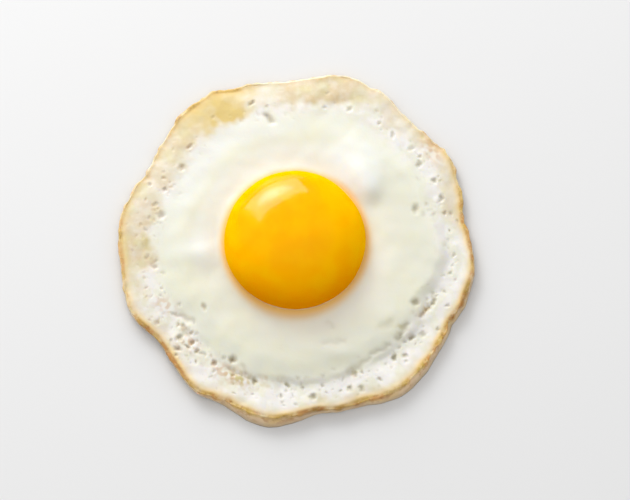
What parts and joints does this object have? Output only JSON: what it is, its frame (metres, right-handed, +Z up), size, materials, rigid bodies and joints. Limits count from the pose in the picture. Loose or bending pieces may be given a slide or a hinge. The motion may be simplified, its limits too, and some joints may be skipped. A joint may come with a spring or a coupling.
{
  "type": "fried egg",
  "caption": "Fried egg, sunny side up: a domed yolk seated in a lobed egg white with a thick inner mound, a thin pitted skirt and a crisp browned rim.",
  "frame": {"origin": "under the middle of the egg, on the surface it lies on", "axes": "+Z up through the yolk's dome, +X to the egg's right and -Y to its near side, where the rim is flared"},
  "size_m": [0.1072, 0.1074, 0.0179],
  "materials": {
    "set_white": "moist satin, translucent, browned at the rim",
    "soft_yolk": "smooth wet gloss"
  },
  "bodies": {
    "root": {"egg_white": "set_white", "yolk": "soft_yolk"}
  },
  "joints": []
}
